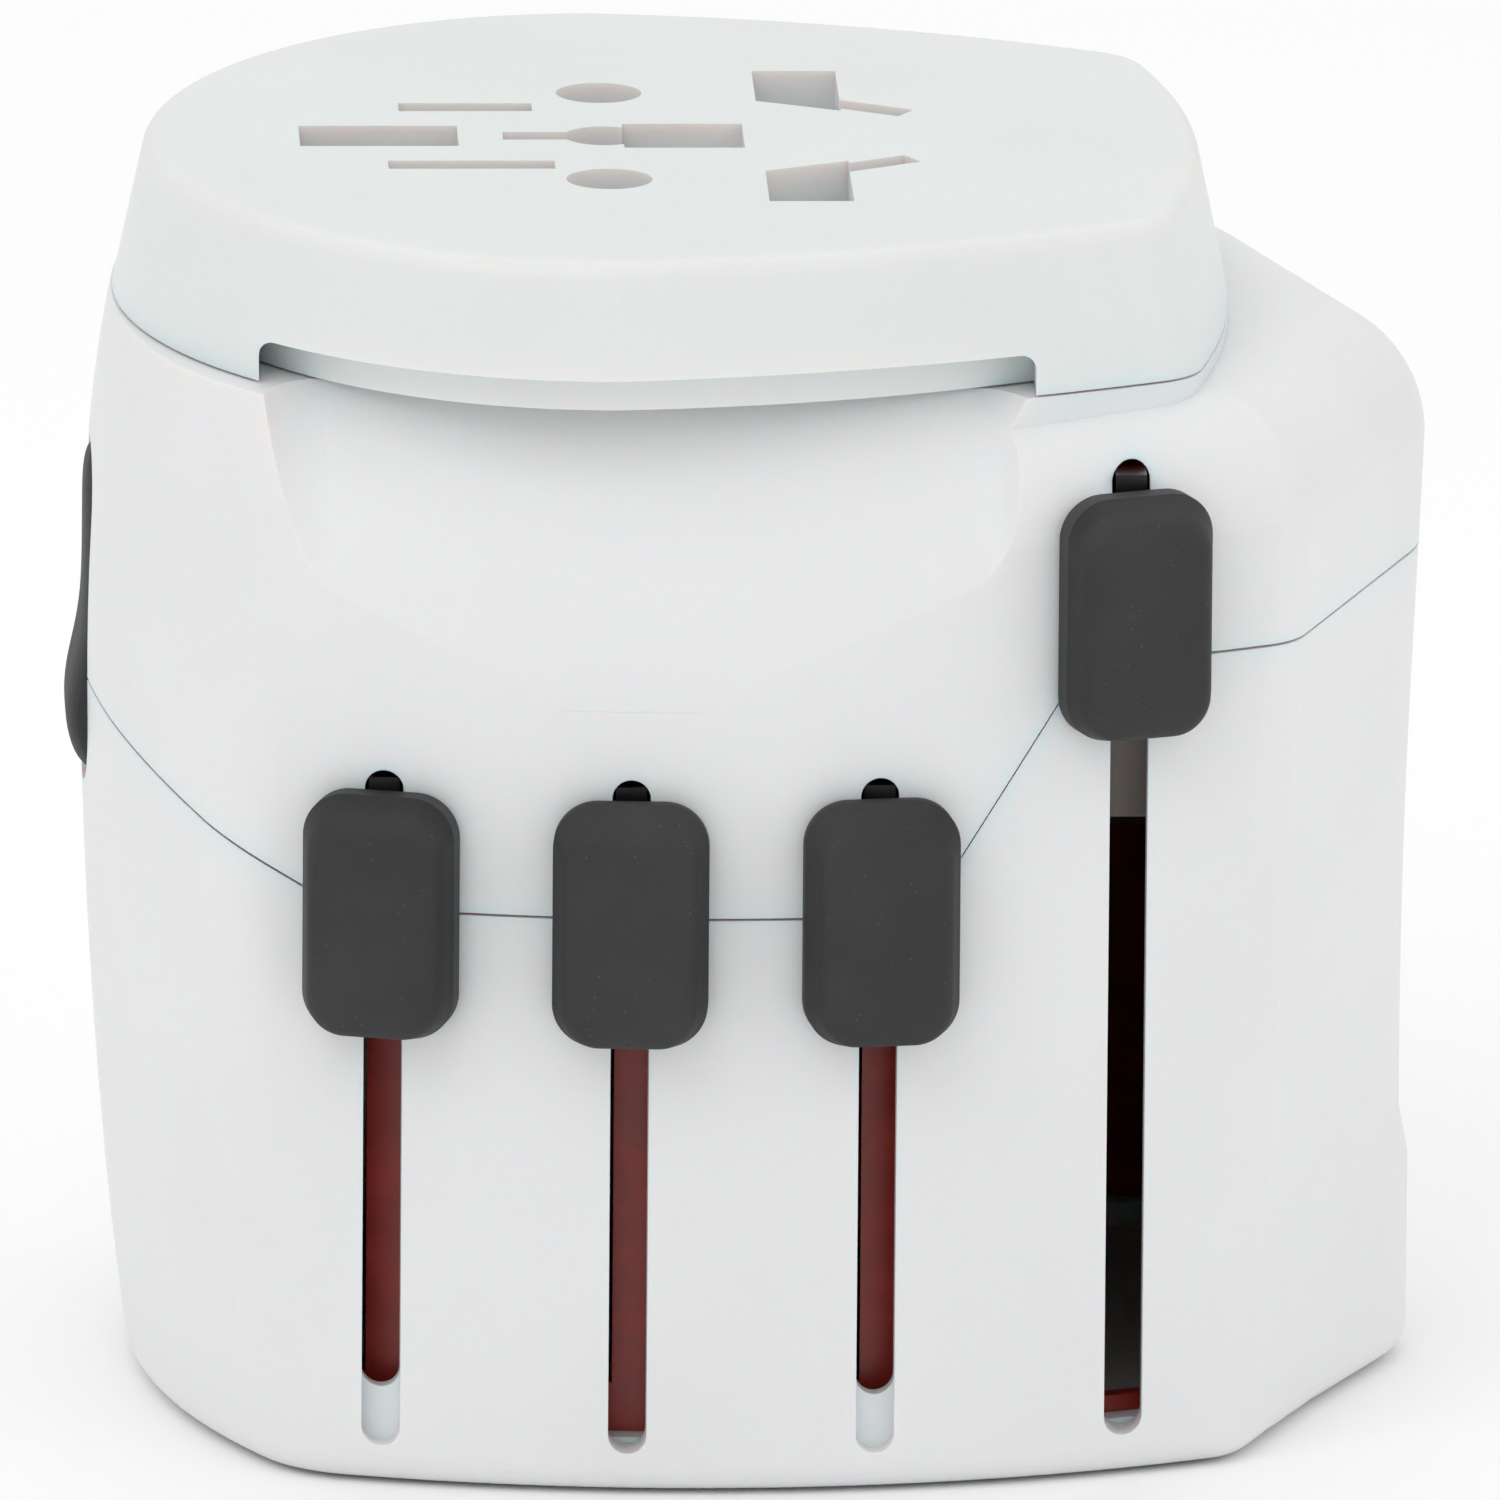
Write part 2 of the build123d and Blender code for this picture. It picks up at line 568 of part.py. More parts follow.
def sleeve_shapes(node):
    """Plan of the sleeve and of the core inside it, for pins that have sleeves."""
    if node == "eu_pins":
        return [
            (place * Circle(EU_SLEEVE_D / 2), place * Circle(EU_CORE_D / 2))
            for place in [Pos(EU_X, s * EU_SPACING / 2) for s in (-1, 1)]
        ]
    core = Rectangle(UK_BLADE[0] - 2 * UK_SLEEVE, UK_BLADE[1] - 2 * UK_SLEEVE)
    uk_y = UK_EARTH[1] + UK_LINE_OFFSET
    places = [Pos(UK_EARTH[0] + s * UK_SPACING / 2, uk_y) for s in (-1, 1)]
    return [(place * Rectangle(*UK_BLADE), place * core) for place in places]


def carriage_bottom(key):
    """Height of a carriage's underside at rest."""
    return CARRIAGE_STOP + TRAVEL[key]


def tipped(shape):
    """Soften the free end of a pin."""
    return chamfer(shape.edges().group_by(Axis.Z)[0], PIN_TIP)


def make_pins():
    """Every pin and blade, and the sleeves on the longer live ones."""
    for node, pins in pin_places().items():
        bottom = carriage_bottom(node[:2])
        solids = [tipped(extrude(Pos(0, 0, bottom - n) * f, n + CARRIAGE_THICK + HEAD_STUB)) for f, n in pins]
        sleeve_length = {"eu_pins": EU_SLEEVE_LENGTH, "uk_blades": UK_SLEEVE_LENGTH}.get(node)
        if sleeve_length:
            sleeves = []
            for index, (sleeve, core) in enumerate(sleeve_shapes(node)):
                top, low = bottom, bottom - sleeve_length
                inside = extrude(Pos(0, 0, low) * core, top - low)
                around = extrude(Pos(0, 0, low) * Pos(*sleeve.center()) * Circle(SLEEVE_CUT), top - low)
                solids[index] -= around - inside
                sleeves.append(extrude(Pos(0, 0, low) * sleeve, top - low) - inside)
            save(node[:2] + "_sleeves", sleeves)
        save(node, solids)


def stem(key):
    """Tongue from the button through the wall slot and, set sideways, the frame slot."""
    x, jog = SLOT_X[key], JOG[key]
    top = (BUTTON_TOP[key] + STEM_RISE[key])
    low = top - STEM_HEIGHT[key]
    half = STEM_WIDTH / 2
    place = button_plane(key, STEM_GRIP)
    y_in = front_y(x, JOG_IN) if jog else STEM_END_Y[key]
    outer = block(x - half, x + half, -PAST, y_in, low, top)
    outer -= place * Pos(0, 0, PAST / 2) * Box(PAST, 2 * PAST, PAST)
    outer -= block(x - PAST, x + PAST, -PAST, front_y(x, STEM_SUNK), BUTTON_TOP[key] - STEM_LAP, top + OVER)
    if not jog:
        return outer
    ring = Cylinder(FRONT_RADIUS - JOG_OUT, 200) - Cylinder(FRONT_RADIUS - JOG_IN, 200)
    ring = Pos(FRONT_MID_X, FRONT_RADIUS - HALF_DEPTH, 0) * ring
    step = ring & block(x - jog - half, x + half, -PAST, 0, low, top)
    inner_start = front_y(x - jog, JOG_OUT + 0.3)
    inner = block(x - jog - half, x - jog + half, inner_start, STEM_END_Y[key], low, top)
    outer -= Pos(FRONT_MID_X, FRONT_RADIUS - HALF_DEPTH, 0) * Cylinder(FRONT_RADIUS - JOG_IN, 200)
    return outer + step + inner


def button_plane(key, lift=0.0):
    """Plane on the curved front at a slot, lifted outwards, with its X along the front."""
    turn = math.asin((SLOT_X[key] - FRONT_MID_X) / FRONT_RADIUS)
    radius = FRONT_RADIUS + BUTTON_GAP + lift
    origin = (
        FRONT_MID_X + radius * math.sin(turn),
        FRONT_RADIUS - HALF_DEPTH - radius * math.cos(turn),
        BUTTON_TOP[key] - BUTTON_HEIGHT / 2,
    )
    along = (math.cos(turn), math.sin(turn), 0)
    return Plane(origin, x_dir=along, z_dir=(math.sin(turn), -math.cos(turn), 0))


def make_button(key, tongue):
    """Soft-touch slide button, hollowed for the end of its stem."""
    face = RectangleRounded(BUTTON_WIDTH, BUTTON_HEIGHT, BUTTON_CORNER)
    plane = button_plane(key)
    cap = extrude(plane * face, BUTTON_THICK)
    outer_edges = [e for e in cap.edges() if plane.to_local_coords(e.center()).Z > BUTTON_THICK - 0.01]
    cap = fillet(outer_edges, BUTTON_EDGE)
    save(key + "_button", cap - tongue)


def make_carriage(key, deck):
    """Sliding carrier of one plug set, with its stem and a seat for each pin."""
    bottom = carriage_bottom(key)
    tongue = stem(key)
    whole = extrude(Pos(0, 0, bottom) * deck, CARRIAGE_THICK) + tongue
    for node, pins in pin_places().items():
        if node[:2] == key:
            whole -= [extrude(Pos(0, 0, bottom - 1) * f, CARRIAGE_THICK + 2) for f, n in pins]
    save(key + "_carriage", whole)
    make_button(key, tongue)


def deck_rect(x0, x1, y0, y1):
    """A rectangle in plan between two corners."""
    return Pos((x0 + x1) / 2, (y0 + y1) / 2) * Rectangle(x1 - x0, y1 - y0)


def make_sets():
    """The four carriages, shaped so that every set passes the others."""
    arm = US_SPACING / 2
    us_left = US_X - US_EARTH_OFFSET - US_EARTH_D / 2 - 0.4
    us = deck_rect(us_left, US_X - US_EARTH_OFFSET + US_EARTH_D / 2 + 0.4, -arm - 1.4, arm + 1.4)
    for side in (-1, 1):
        us += deck_rect(us_left, US_X + US_BLADE[0] / 2 + 0.5, side * arm - 1.4, side * arm + 1.4)
    make_carriage("us", us)
    au_half = AU_SPACING / 2 + 3.0
    au = deck_rect(AU_X - 3.4, AU_X + 3.5, -au_half, au_half)
    au += deck_rect(AU_X - AU_EARTH_OFFSET - AU_BLADE[0] / 2 - 0.7, AU_X, -1.7, 1.7)
    make_carriage("au", au)
    eu_half = EU_SPACING / 2 + EU_PIN_D / 2 + 0.8
    eu = deck_rect(EU_X - EU_EARTH_OFFSET - EU_PIN_D / 2 - 0.6, EU_X + EU_PIN_D / 2 + 0.8, -eu_half, eu_half)
    make_carriage("eu", eu)
    uk_y = UK_EARTH[1] + UK_LINE_OFFSET
    reach = UK_SPACING / 2 + UK_BLADE[0] / 2 + 0.8
    uk = deck_rect(UK_EARTH[0] - reach, UK_EARTH[0] + reach, uk_y - 2.9, uk_y + 2.9)
    uk += deck_rect(UK_EARTH[0] - 2.5, SLOT_X["uk"] + 3.0, UK_EARTH[1] - 4.8, uk_y)
    make_carriage("uk", uk)


def make_base_plate():
    """Plate that closes the base, pierced for every pin and screw."""
    plate = extrude(plan(SECTIONS[0], WALL + BASE_GAP), BASE_PLATE)
    for pins in pin_places().values():
        for face, length in pins:
            plate -= extrude(Pos(0, 0, -1) * offset(face, PIN_HOLE_GAP), BASE_PLATE + 2)
    for x, y in screw_places():
        plate -= rod(x, y, -1, BASE_PLATE + 1, SCREW_D + SCREW_EASE)
        plate -= rod(x, y, -1, SCREW_HEAD, SCREW_HEAD_D + SCREW_EASE)
    save("base_plate", plate)


def make_guide_frame():
    """Upright curved walls inside the front and back, the front one slotted beside each outer slot."""
    centre = Pos(FRONT_MID_X, FRONT_RADIUS - HALF_DEPTH, FRAME_TOP / 2)
    ring = Cylinder(FRONT_RADIUS - FRAME_OUT, FRAME_TOP) - Cylinder(FRONT_RADIUS - FRAME_IN, FRAME_TOP)
    wall = (centre * ring) & block(FRAME_LEFT, FRAME_RIGHT, -40, 0, BASE_PLATE, FRAME_TOP)
    back = wall & block(FRAME_LEFT, FRAME_BACK_RIGHT, -40, 0, BASE_PLATE, FRAME_TOP)
    back = mirror(back, about=Plane.XZ)
    for key, jog in JOG.items():
        x = SLOT_X[key] - jog
        low = (BUTTON_TOP[key] + STEM_RISE[key]) - STEM_HEIGHT[key] - TRAVEL[key] - STEM_STOP
        wall -= block(x - FRAME_SLOT / 2, x + FRAME_SLOT / 2, -40, 0, low, FRAME_TOP + 1)
    post_x = LATCH_X[1] + LATCH_SPRING_LENGTH
    mid = latch_line(LATCH_X[1] + LATCH_SPRING_LENGTH / 2)
    wall += block(post_x, post_x + POST, mid - POST, mid + POST, FRAME_TOP - POST, LATCH_Z[1])
    edge_y = -front_y(FRAME_BAR_X[1], FRAME_IN)
    wall += back + block(*FRAME_BAR_X, -edge_y - 0.5, edge_y + 0.5, BASE_PLATE, BASE_PLATE + FRAME_BAR)
    save("guide_frame", wall)


def make_contacts():
    """Contact block, the three socket contacts under it and the rails they stand on."""
    z0, z1 = CARRIER_Z
    top = DECK_Z - WALL
    carrier = extrude(Pos(0, 0, z0) * carrier_plan(), z1 - z0)
    carrier += extrude(Pos(0, 0, top - 2) * carrier_plan(CARRIER_FLANGE), 2)
    carrier -= sockets(z0 - 1, z1 + 1, 0.0, 0.2)
    for x, y in screw_places():
        carrier -= rod(x, y, z0 - 1, z1, BOSS_D + 2 * CARRIER_GAP)
    for x, y in head_screw_places():
        carrier -= rod(x, y, z0 - 1, top, SCREW_HEAD_D + 2 * CARRIER_GAP)
    save("contact_carrier", carrier)
    low = z0 - CONTACT_THICK
    holes = sockets(low - 1, z0 + 1, 0.0, CONTACT_HOLE_GAP)
    strips = {
        "neutral_contact": ((CONTACT_X[0], CONTACT_X[1], -CONTACT_Y[1], -CONTACT_Y[0]), -1),
        "line_contact": ((CONTACT_X[0], CONTACT_X[1], CONTACT_Y[0], CONTACT_Y[1]), 1),
    }
    for node, ((a, b, c, d), side) in strips.items():
        strip = block(a, b, c, d, low, z0) - holes
        for offset_y in (-1, 1):
            y = side * EURO_SPACING / 2 + offset_y * (EURO_HOLE_D / 2 + LEAF_GAP + LEAF_THICK / 2)
            strip += block(-2, 2, y - LEAF_THICK / 2, y + LEAF_THICK / 2, low - LEAF_DROP, low)
            x = sum(UK_SIDE_SLOT) / 2 + offset_y * (UK_LEAF_SPREAD + LEAF_THICK / 2)
            leaf_y = sorted(side * y for y in UK_LEAF_Y)
            strip += block(x - LEAF_THICK / 2, x + LEAF_THICK / 2, *leaf_y, low - LEAF_DROP, low)
        save(node, strip)
    earth = block(EARTH_X[0], EARTH_X[1], -EARTH_HALF, EARTH_HALF, low, z0) - holes
    for side in (-1, 1):
        y = side * (UK_SLOT[1] / 2 + LEAF_GAP + LEAF_THICK)
        earth += block(*EARTH_LEAF_X, y - LEAF_THICK / 2, y + LEAF_THICK / 2, low - LEAF_DROP, low)
    save("earth_contact", earth)
    save("line_rail", block(4.0, 14.0, RAIL_Y, RAIL_Y + RAIL_THICK, BASE_PLATE, low))
    save("neutral_rail", block(3.5, 10.4, -RAIL_Y - RAIL_THICK, -RAIL_Y, BASE_PLATE, low))
    save("earth_rail", block(EARTH_RAIL_X, EARTH_RAIL_X + RAIL_THICK, *EARTH_RAIL_Y, BASE_PLATE, low))


def coil(x, y, z, length):
    """Small compression spring along X, clear of its seats by half a wire."""
    gap = SPRING_WIRE / 2 + 0.05
    turns_length = length - 2 * gap
    path = Helix(turns_length / SPRING_TURNS, turns_length, SPRING_R)
    wire = sweep(Plane(path @ 0, z_dir=path % 0) * Circle(SPRING_WIRE / 2), path=path, is_frenet=True)
    return Pos(x + gap, y, z) * Rot(0, 90, 0) * wire


def latch_line(x):
    """Middle of the latch bar and its spring along Y."""
    return front_y(x, (FRAME_OUT + LATCH_IN) / 2)


def make_latch():
    """Bar on top of the guide frame that the lever pushes along, and its spring."""
    x0, x1 = LATCH_X
    ring = Cylinder(FRONT_RADIUS - FRAME_OUT, 200) - Cylinder(FRONT_RADIUS - LATCH_IN, 200)
    ring = Pos(FRONT_MID_X, FRONT_RADIUS - HALF_DEPTH, 0) * ring
    bar = ring & block(x0, x1, -40, 0, *LATCH_Z)
    y0, y1 = LATCH_FINGER_Y
    bar += block(x0, x0 + LATCH_LEG, front_y(x0, FRAME_IN), y1, *LATCH_Z)
    bar += block(LEVER_FACE_X + LEVER_THICK + LATCH_GAP, x0 + 0.5, y0, y1, *LATCH_Z)
    save("latch_bar", bar)
    spring_y = latch_line(x1 + LATCH_SPRING_LENGTH / 2)
    save("latch_spring", coil(x1, spring_y, sum(LATCH_Z) / 2, LATCH_SPRING_LENGTH))


def make_shutter():
    """Sliding shutter on top of the contact block, and the spring that closes it."""
    plate = block(SHUTTER_X[0], SHUTTER_X[1], -SHUTTER_HALF, SHUTTER_HALF, *SHUTTER_Z)
    plate &= extrude(Pos(0, 0, SHUTTER_Z[0]) * head_outline(-HEAD_WALL - CARRIER_GAP), 5)
    plate -= sockets(SHUTTER_Z[0] - 1, SHUTTER_Z[1] + 1, -SHUTTER_TRAVEL, 0.3)
    save("socket_shutter", plate)
    save("shutter_spring", coil(SHUTTER_X[1], 0.0, sum(SHUTTER_Z) / 2, SHUTTER_SPRING_LENGTH))


def make_lever():
    """Release lever on the left end, and the pin it turns on."""
    x0 = LEVER_FACE_X
    inner = x0 + LEVER_THICK
    z0, z1 = LEVER_Z
    mid = (z0 + z1) / 2
    face = make_face(
        Polyline(
            (x0, z1), (x0, z0 + 8.5), (LEVER_BULGE_X, z0 + 6.0), (LEVER_BULGE_X, z0 + 2.2), (x0, z0),
            (inner, z0), (inner, z1), close=True,
        )
    )
    plane = Plane((0, LEVER_HALF, 0), x_dir=(1, 0, 0), z_dir=(0, -1, 0))
    lever = extrude(plane * face, 2 * LEVER_HALF) & lever_window(0.0)
    barrel = Pos(PIVOT[0], 0, PIVOT[1]) * Rot(90, 0, 0) * Cylinder(PIVOT_D / 2 + 0.9, 2 * LEVER_HALF - 1)
    bridge = block(inner - 0.5, PIVOT[0], -LEVER_HALF + 0.5, LEVER_HALF - 0.5, PIVOT[1] - 1, PIVOT[1] + 1)
    lever += barrel + bridge
    across = Pos(PIVOT[0], 0, PIVOT[1]) * Rot(90, 0, 0)
    lever -= across * Cylinder(PIVOT_D / 2 + PIVOT_GAP, 2 * PIVOT_HALF)
    save("release_lever", lever)
    save("release_pivot_pin", across * Cylinder(PIVOT_D / 2, 2 * PIVOT_HALF))


def make_screws():
    """Long housing screws from below and short ones into the head."""
    long_ones = []
    socket_low, socket_top, socket_width = SCREW_SOCKET
    for x, y in screw_places():
        screw = rod(x, y, socket_low, SCREW_HEAD, SCREW_HEAD_D)
        screw += rod(x, y, SCREW_HEAD, SCREW_HEAD + SCREW_LENGTH, SCREW_D)
        screw -= rod(x, y, socket_low, socket_top, socket_width)
        long_ones.append(screw)
    save("housing_screws", long_ones)
    short_ones = []
    low = DECK_Z - WALL - HEAD_SCREW_HEAD
    for x, y in head_screw_places():
        screw = rod(x, y, low, low + HEAD_SCREW_HEAD, SCREW_HEAD_D)
        screw += rod(x, y, low + OVER, SEAM_Z + THREAD_REACH, SCREW_D)
        short_ones.append(screw)
    save("head_screws", short_ones)


def make_fuse():
    """Glass-tube fuse across the nose, held by two clips under the deck."""
    x, y, z = FUSE_AT
    along = Pos(x, y, z) * Rot(90, 0, 0)
    half = FUSE_LENGTH / 2
    glass = along * Cylinder(FUSE_D / 2 - 0.4, FUSE_LENGTH - 1.0)
    caps = []
    clips = []
    for side in (-1, 1):
        mid = y + side * (half - CAP_LENGTH / 2)
        cap = Pos(x, mid, z) * Rot(90, 0, 0) * Cylinder(FUSE_D / 2, CAP_LENGTH)
        caps.append(cap - glass)
        ends = (mid - CLIP_WIDTH / 2, mid + CLIP_WIDTH / 2)
        clip = block(x - CLIP_HALF, x + CLIP_HALF, *ends, z - CLIP_DROP, DECK_Z - WALL)
        clip -= Pos(x, mid, z) * Rot(90, 0, 0) * Cylinder(FUSE_D / 2, CLIP_WIDTH + 1)
        clip -= block(x - CLIP_MOUTH, x + CLIP_MOUTH, mid - CLIP_WIDTH, mid + CLIP_WIDTH, z - CLIP_WIDTH, z)
        clips.append(clip)
    save("fuse_tube", glass)
    save("fuse_caps", caps)
    save("fuse_clips", clips)


make_shells()
make_head()
make_base_plate()
make_guide_frame()
make_contacts()
make_shutter()
make_latch()
make_sets()
make_pins()
make_lever()
make_screws()
make_fuse()
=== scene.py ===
"""Universal travel adapter: buttons, release lever and finishes built round the fixed frame."""

import json
import math

import bmesh
import bpy
from bpy.props import FloatProperty, FloatVectorProperty, IntProperty, PointerProperty
from mathutils import Matrix, Vector


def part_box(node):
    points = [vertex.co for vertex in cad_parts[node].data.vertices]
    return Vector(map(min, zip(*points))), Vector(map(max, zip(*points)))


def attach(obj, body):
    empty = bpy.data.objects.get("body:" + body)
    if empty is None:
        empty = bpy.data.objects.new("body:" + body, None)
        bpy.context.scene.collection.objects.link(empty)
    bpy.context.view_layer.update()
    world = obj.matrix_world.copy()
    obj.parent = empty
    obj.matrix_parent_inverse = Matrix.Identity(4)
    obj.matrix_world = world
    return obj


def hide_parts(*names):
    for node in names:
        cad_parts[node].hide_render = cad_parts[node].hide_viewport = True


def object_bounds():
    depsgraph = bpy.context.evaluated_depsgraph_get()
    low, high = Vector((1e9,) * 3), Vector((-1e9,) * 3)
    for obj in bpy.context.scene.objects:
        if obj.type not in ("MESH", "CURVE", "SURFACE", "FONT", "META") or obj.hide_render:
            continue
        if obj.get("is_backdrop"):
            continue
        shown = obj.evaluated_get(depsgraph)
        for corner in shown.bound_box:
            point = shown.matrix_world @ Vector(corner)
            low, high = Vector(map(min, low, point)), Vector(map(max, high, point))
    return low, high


bl_info = {
    "name": "Travel adapter",
    "version": (1, 0, 0),
    "blender": (4, 5, 0),
    "location": "3D View > Sidebar > Adapter",
    "description": "Builds the outer pieces and finishes of a universal travel adapter",
    "category": "Object",
}

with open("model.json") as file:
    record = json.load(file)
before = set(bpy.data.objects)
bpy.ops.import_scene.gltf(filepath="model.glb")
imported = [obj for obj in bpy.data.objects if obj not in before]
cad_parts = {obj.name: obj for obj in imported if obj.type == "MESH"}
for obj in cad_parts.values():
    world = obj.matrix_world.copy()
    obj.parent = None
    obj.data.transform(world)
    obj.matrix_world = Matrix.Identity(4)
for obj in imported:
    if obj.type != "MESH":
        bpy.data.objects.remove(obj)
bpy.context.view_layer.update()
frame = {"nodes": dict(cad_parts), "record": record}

# The front wall is a wide arc in plan, and each button is turned to face out of it
FRONT_ARC_RADIUS = 0.064
FRONT_ARC_X = 0.005
SETS = ("us", "au", "eu", "uk")
BUTTON_WIDTH = 0.0081
BUTTON_THICK = 0.003
BUTTON_STANDOFF = 0.0018
BUTTON_SHOULDER = 0.45
BUTTON_ROUND = (0.0005, 5)
BUTTON_BACK_ROUND = (0.00015, 2)
SAME_HEIGHT = 1e-6

# The lever's plate, its grid of faces and the barrel that turns on the pin
LEVER_THICK = 0.0017
LEVER_ACROSS = 14
LEVER_ALONG = 44
LEVER_TIP_WIDTH = 0.05
LEVER_EDGE_POWER = 5
LEVER_PAD_SPREAD = 0.0036
LEVER_SIDE = 0.0005
PIN_GAP = 0.00005
BARREL_WALL = 0.0009
BARREL_STEPS = 28

# The floor lies just under the base, and each light has a place, a size and a power
FLOOR_HALF = 4.0
FLOOR_GAP = 0.0002
LIGHT_TARGET = (0, 0, 0.03)
LIGHTS = {
    "key": ((-0.35, -0.55, 0.75), 0.6, 1.4),
    "fill": ((0.7, -0.5, 0.45), 0.8, 0.65),
    "top": ((0.0, 0.25, 0.9), 0.9, 1.15),
}
WORLD_LIGHT = 0.8


# ---------------------------------------------------------------- shader maths


class Value:
    """A shader socket that can be used in plain expressions."""

    def __init__(self, tree, socket):
        self.tree, self.socket = tree, socket

    def node(self, kind, settings=None, out=0, **inputs):
        """Add any node: settings first, then the values or links of its sockets."""
        made = self.tree.nodes.new(kind)
        for name, value in (settings or {}).items():
            if name == "stops":
                ramp = made.color_ramp
                while len(ramp.elements) < len(value):
                    ramp.elements.new(0.5)
                for stop, (place, colour) in zip(ramp.elements, value):
                    stop.position, stop.color = place, colour
            else:
                setattr(made, name, value)
        for name, value in inputs.items():
            numbered = name[0] == "i" and name[1:].isdigit()
            key = int(name[1:]) if numbered else name.replace("_", " ")
            if isinstance(value, Value):
                self.tree.links.new(value.socket, made.inputs[key])
            else:
                made.inputs[key].default_value = value
        return Value(self.tree, made.outputs[out])

    def math(self, operation, other=0.0, flip=False):
        first, second = (other, self) if flip else (self, other)
        return self.node("ShaderNodeMath", {"operation": operation}, i0=first, i1=second)

    def __add__(self, other):
        return self.math("ADD", other)

    def __sub__(self, other):
        return self.math("SUBTRACT", other)

    def __rsub__(self, other):
        return self.math("SUBTRACT", other, flip=True)

    def __mul__(self, other):
        return self.math("MULTIPLY", other)

    def ramp(self, low, high):
        """0 under low, 1 over high, smooth between."""
        smooth = {"interpolation_type": "SMOOTHSTEP"}
        return self.node("ShaderNodeMapRange", smooth, Value=self, From_Min=low, From_Max=high)

    def mix(self, first, second):
        """A colour between two, by this value."""
        return self.node("ShaderNodeMix", {"data_type": "RGBA"}, out=2, i0=self, i6=first, i7=second)

    def noise(self, scale, detail=3.0, rough=0.55):
        return self.node("ShaderNodeTexNoise", Vector=self, Scale=scale, Detail=detail, Roughness=rough)

    def cells(self, scale):
        return self.node("ShaderNodeTexVoronoi", {"feature": "F1"}, Vector=self, Scale=scale)


def finish(name, build, **fixed):
    """A material: build(place, shader) links what varies, and fixed sets plain sockets."""
    material = bpy.data.materials.new(name)
    material.use_nodes = True
    tree = material.node_tree
    shader = tree.nodes["Principled BSDF"]
    for socket, value in fixed.items():
        shader.inputs[socket.replace("_", " ")].default_value = value
    place = Value(tree, tree.nodes.new("ShaderNodeTexCoord").outputs["Object"])

    def link(value, socket):
        tree.links.new(value.socket, shader.inputs[socket])

    build(place, link)
    return material


def bump(height, strength, distance):
    return height.node("ShaderNodeBump", Strength=strength, Distance=distance, Height=height)


def rgb(red, green, blue):
    return (red, green, blue, 1.0)


def moulded_white(name, colour, roughness):
    """Spark-eroded white plastic: very fine grain, faint mottling and handling sheen."""

    def build(place, link):
        grain = place.noise(5200.0, 2.0)
        mottle = place.noise(55.0, 3.0)
        tint = tuple(channel * 0.975 for channel in colour)
        link(mottle.ramp(0.35, 0.7).mix(rgb(*colour), rgb(*tint)), "Base Color")
        link((mottle * 0.10 + roughness - 0.05) + grain * 0.05, "Roughness")
        link(bump(grain, 0.10, 0.00004), "Normal")

    return finish(name, build, IOR=1.49, Subsurface_Weight=0.45, Subsurface_Scale=0.0022)


def soft_touch(name):
    """Charcoal soft-touch coat: matt, faintly speckled, paler along worn places."""

    def build(place, link):
        fine = place.noise(9000.0, 2.0, 0.7)
        speck = place.cells(2600.0).ramp(0.16, 0.05) * place.noise(700.0).ramp(0.5, 0.62)
        cloud = place.noise(160.0, 4.0)
        base = cloud.ramp(0.3, 0.75).mix(rgb(0.022, 0.022, 0.0235), rgb(0.031, 0.031, 0.0325))
        link(speck.mix(base, rgb(0.085, 0.085, 0.089)), "Base Color")
        link(fine * 0.16 + 0.56, "Roughness")
        link(bump(fine, 0.30, 0.00006), "Normal")

    return finish(name, build, IOR=1.46)


def dark_plastic(name, colour, roughness):
    """Plain moulded inner plastic with a drawn surface."""

    def build(place, link):
        streak = place.noise(420.0, 3.0)
        pale = tuple(channel * 1.35 + 0.002 for channel in colour)
        link(streak.ramp(0.35, 0.75).mix(rgb(*colour), rgb(*pale)), "Base Color")
        link(streak * 0.18 + roughness - 0.09, "Roughness")
        link(bump(place.noise(3000.0), 0.12, 0.00004), "Normal")

    return finish(name, build, IOR=1.5)


def drawn_metal(name, colour, roughness):
    """Plated or drawn metal with lengthwise marks."""

    def build(place, link):
        along = place.node("ShaderNodeMapping", Vector=place, Scale=(900.0, 900.0, 60.0))
        marks = along.noise(1.0, 4.0)
        dull = tuple(channel * 0.82 for channel in colour)
        link(marks.ramp(0.3, 0.75).mix(rgb(*colour), rgb(*dull)), "Base Color")
        link(marks * 0.2 + roughness - 0.1, "Roughness")
        link(bump(marks, 0.08, 0.00003), "Normal")

    return finish(name, build, Metallic=1.0)


def clear_glass(name):
    def build(place, link):
        link(place.noise(300.0) * 0.06 + 0.03, "Roughness")

    return finish(name, build, Base_Color=rgb(0.9, 0.95, 0.95), Transmission_Weight=0.9, IOR=1.5)


FINISHES = {
    "shell_white": lambda: moulded_white("white shell plastic", (0.80, 0.805, 0.81), 0.42),
    "head_white": lambda: moulded_white("white head plastic", (0.765, 0.795, 0.79), 0.36),
    "inner_white": lambda: moulded_white("shutter plastic", (0.88, 0.86, 0.85), 0.45),
    "soft_black": lambda: soft_touch("charcoal soft-touch coat"),
    "frame_red": lambda: dark_plastic("dark red guide plastic", (0.26, 0.026, 0.019), 0.34),
    "black_plastic": lambda: dark_plastic("black inner plastic", (0.006, 0.006, 0.007), 0.3),
    "brass": lambda: drawn_metal("contact brass", (0.72, 0.55, 0.28), 0.32),
    "nickel": lambda: drawn_metal("nickel plating", (0.66, 0.64, 0.60), 0.25),
    "steel": lambda: drawn_metal("zinc-plated steel", (0.50, 0.50, 0.52), 0.36),
    "glass": lambda: clear_glass("fuse glass"),
}
made_finishes = {}


def material_for(slot):
    if slot not in made_finishes:
        made_finishes[slot] = FINISHES[slot]()
    return made_finishes[slot]


# ---------------------------------------------------------------- mesh helpers


